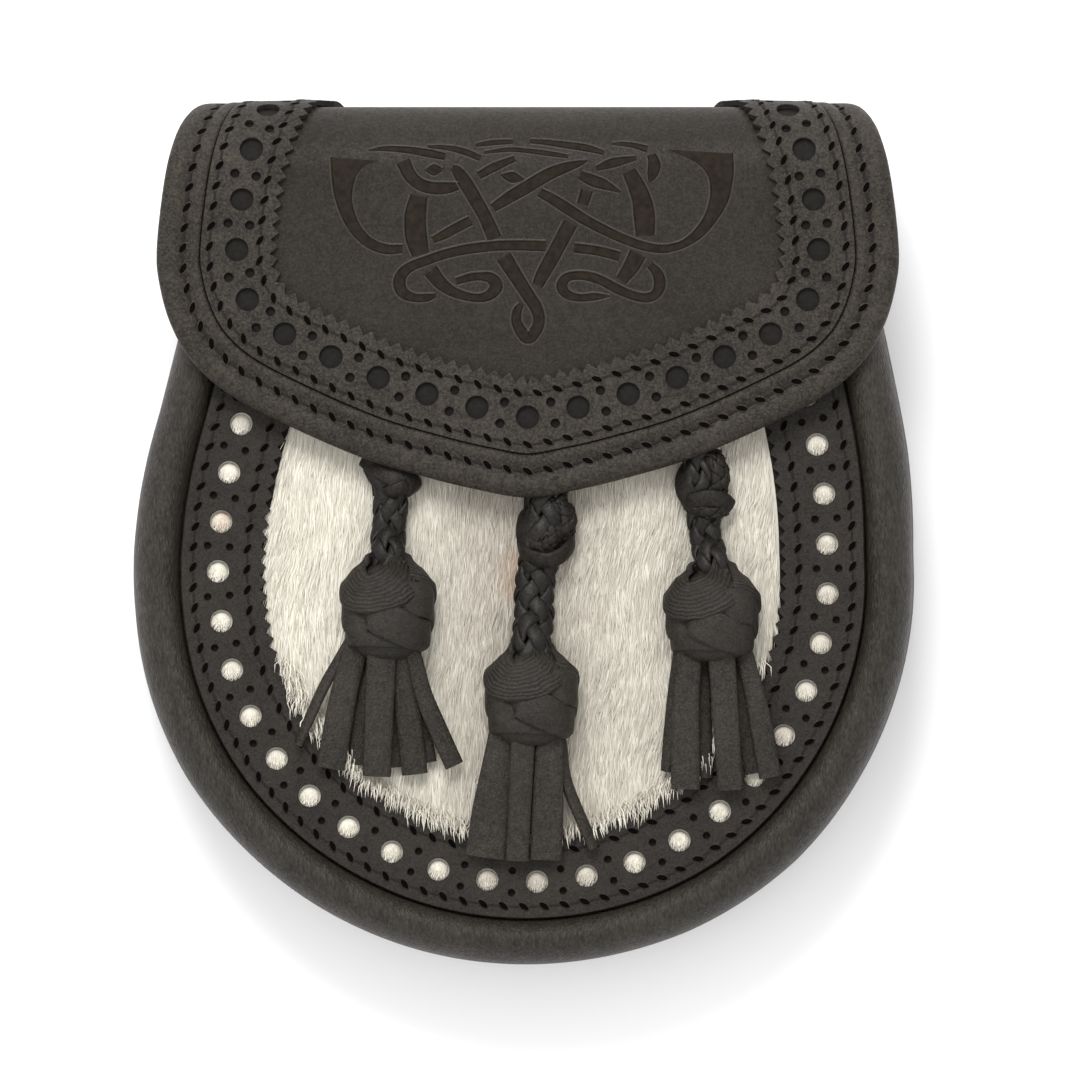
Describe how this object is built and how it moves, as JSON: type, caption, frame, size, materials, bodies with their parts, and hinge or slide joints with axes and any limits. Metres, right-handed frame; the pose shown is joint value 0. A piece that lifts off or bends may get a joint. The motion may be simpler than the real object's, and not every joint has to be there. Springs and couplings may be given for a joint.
{
  "type": "sporran pouch",
  "caption": "Leather sporran pouch on its back: a rounded hollow body with a rolled edge, a hair-on-hide front in a brogued frame, a fold-over flap and leather tassels.",
  "frame": {"origin": "on the surface that the pouch lies on, under the middle of its box", "axes": "+Y from the round bottom towards the fold of the flap, +Z out of the front, +X to the right seen from the front"},
  "size_m": [0.1906, 0.2124, 0.0569],
  "materials": {
    "black_leather": "matte, lightly grained",
    "rolled_leather": "soft sheen, fine diagonal grain",
    "flap_leather": "matte, pebbled on the band",
    "braided_leather": "soft gloss",
    "hair_hide": "short cream and grey hair",
    "stud_metal": "satin"
  },
  "bodies": {
    "root": {"back_panel": "black_leather", "gusset": "rolled_leather", "fur_panel": "hair_hide", "border_ring": "black_leather", "flap": "flap_leather", "flap_rim": "flap_leather", "flap_band": "flap_leather", "stem_left": "braided_leather", "stem_centre": "braided_leather", "stem_right": "braided_leather", "tassel_left": "braided_leather", "tassel_centre": "braided_leather", "tassel_right": "braided_leather", "belt_loop_left": "black_leather", "belt_loop_right": "black_leather", "closure_stud": "stud_metal"}
  },
  "joints": []
}
